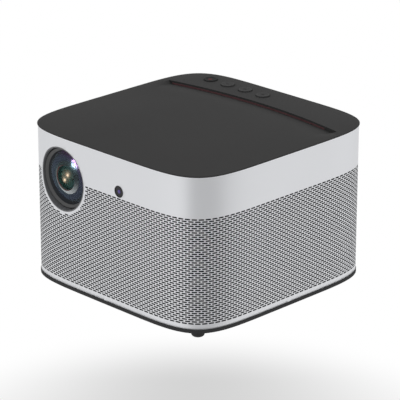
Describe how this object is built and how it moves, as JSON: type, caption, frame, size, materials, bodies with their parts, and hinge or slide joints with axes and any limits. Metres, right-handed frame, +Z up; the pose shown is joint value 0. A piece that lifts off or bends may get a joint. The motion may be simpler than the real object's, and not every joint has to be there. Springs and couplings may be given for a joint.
{
  "type": "home projector",
  "caption": "Squarish home projector: perforated shell, recessed round lens, dark top with light groove and four keys, rear sockets, optics, fans and speakers inside.",
  "frame": {"origin": "centre of the footprint, at the soles of the feet", "axes": "+Z up, -Y the front face with the lens, +X to the viewer's right when facing the front"},
  "size_m": [0.201, 0.201, 0.135],
  "materials": {
    "shell_silver": "satin silver paint over perforated aluminium",
    "screen_fabric": "fine black dust screen",
    "cover_black": "fine-grained soft matt",
    "key_black": "fine matt",
    "base_black": "fine matt",
    "light_bar_red": "translucent dark red light guide, unlit",
    "foot_rubber": "matt",
    "insert_brass": "turned",
    "screw_steel": "black zinc",
    "chassis_black": "moulded",
    "bezel_grey": "satin",
    "barrel_black": "matt black",
    "lens_glass": "multi-coated optical glass",
    "gear_white": "moulded acetal",
    "motor_steel": "drawn steel",
    "engine_magnesium": "die cast, sand-blasted",
    "prism_glass": "polished optical glass",
    "mirror_coating": "dichroic coating",
    "led_copper": "copper-core board",
    "circuit_board": "solder mask over glass-fibre board",
    "fin_aluminium": "stamped fins",
    "pipe_copper": "bare copper",
    "fan_black": "moulded",
    "panel_black": "fine matt",
    "socket_steel": "nickel-plated steel",
    "cone_paper": "coated paper",
    "surround_rubber": "half-roll",
    "window_smoke": "smoked acrylic",
    "cable_grey": "flat flexible cable"
  },
  "bodies": {
    "housing": {"outer_shell": "shell_silver", "dust_screen": "screen_fabric", "top_cover": "cover_black", "light_bar": "light_bar_red", "light_bar_board": "circuit_board", "key_board": "circuit_board", "base_plate": "base_black", "rubber_feet": "foot_rubber", "tripod_insert": "insert_brass", "base_screws": "screw_steel", "chassis_frame": "chassis_black", "lens_bezel": "bezel_grey", "lens_barrel": "barrel_black", "front_lens": "lens_glass", "rear_lens": "lens_glass", "focus_motor": "motor_steel", "engine_housing": "engine_magnesium", "engine_cover": "engine_magnesium", "prism": "prism_glass", "condenser_lenses": "prism_glass", "dichroic_mirrors": "mirror_coating", "red_led_module": "led_copper", "green_led_module": "led_copper", "blue_led_module": "led_copper", "image_chip_board": "circuit_board", "image_chip_heat_sink": "fin_aluminium", "heat_pipes": "pipe_copper", "left_heat_sink": "fin_aluminium", "right_heat_sink": "fin_aluminium", "left_fan_housing": "fan_black", "right_fan_housing": "fan_black", "main_board": "circuit_board", "power_board": "circuit_board", "port_panel": "panel_black", "power_inlet": "panel_black", "hdmi_sockets": "socket_steel", "usb_sockets": "socket_steel", "lan_socket": "socket_steel", "headphone_socket": "panel_black", "optical_socket": "panel_black", "speaker_boxes": "chassis_black", "speaker_drivers": "motor_steel", "cone_surrounds": "surround_rubber", "front_board": "circuit_board", "focus_camera": "barrel_black", "sensor_window": "window_smoke", "wifi_antennas": "circuit_board", "key_cable": "cable_grey"},
    "power_key": {"power_key": "key_black"},
    "minus_key": {"minus_key": "key_black"},
    "play_key": {"play_key": "key_black"},
    "plus_key": {"plus_key": "key_black"},
    "focus_ring": {"focus_ring": "gear_white"},
    "focus_pinion": {"focus_pinion": "gear_white"},
    "focus_cell": {"focus_cell": "barrel_black", "second_lens": "lens_glass"},
    "left_fan_impeller": {"left_fan_impeller": "fan_black"},
    "right_fan_impeller": {"right_fan_impeller": "fan_black"},
    "left_cone": {"left_cone": "cone_paper"},
    "right_cone": {"right_cone": "cone_paper"}
  },
  "joints": [
    {"name": "power_key_press", "type": "slide", "parent": "housing", "child": "power_key", "axis": [0, 0, -1], "range_m": [0, 0.0004], "stiffness_N_per_m": 1500, "springref_m": -0.0003},
    {"name": "minus_key_press", "type": "slide", "parent": "housing", "child": "minus_key", "axis": [0, 0, -1], "range_m": [0, 0.0004], "stiffness_N_per_m": 1500, "springref_m": -0.0003},
    {"name": "play_key_press", "type": "slide", "parent": "housing", "child": "play_key", "axis": [0, 0, -1], "range_m": [0, 0.0004], "stiffness_N_per_m": 1500, "springref_m": -0.0003},
    {"name": "plus_key_press", "type": "slide", "parent": "housing", "child": "plus_key", "axis": [0, 0, -1], "range_m": [0, 0.0004], "stiffness_N_per_m": 1500, "springref_m": -0.0003},
    {"name": "focus_ring_turn", "type": "hinge", "parent": "housing", "child": "focus_ring", "pos_m": [-0.05, -0.066, 0.0986], "axis": [0, 1, 0], "range_deg": [-40, 40]},
    {"name": "focus_pinion_turn", "type": "hinge", "parent": "housing", "child": "focus_pinion", "pos_m": [-0.03592, -0.064, 0.07211], "axis": [0, 1, 0], "range_deg": [-160.5, 160.5]},
    {"name": "focus_cell_slide", "type": "slide", "parent": "housing", "child": "focus_cell", "axis": [0, 1, 0], "range_m": [-0.00121, 0.00121]},
    {"name": "left_fan_spin", "type": "hinge", "parent": "housing", "child": "left_fan_impeller", "pos_m": [-0.0855, 0.037, 0.05], "axis": [1, 0, 0], "continuous": true},
    {"name": "right_fan_spin", "type": "hinge", "parent": "housing", "child": "right_fan_impeller", "pos_m": [0.0855, 0.02, 0.062], "axis": [1, 0, 0], "continuous": true},
    {"name": "left_cone_stroke", "type": "slide", "parent": "housing", "child": "left_cone", "axis": [0, 1, 0], "range_m": [-0.001, 0.001], "stiffness_N_per_m": 1200},
    {"name": "right_cone_stroke", "type": "slide", "parent": "housing", "child": "right_cone", "axis": [0, 1, 0], "range_m": [-0.001, 0.001], "stiffness_N_per_m": 1200}
  ],
  "couplings": [
    {"joint": "focus_pinion_turn", "follows": "focus_ring_turn", "ratio": -4},
    {"joint": "focus_cell_slide", "follows": "focus_ring_turn", "m_per_rad": 0.001719}
  ]
}
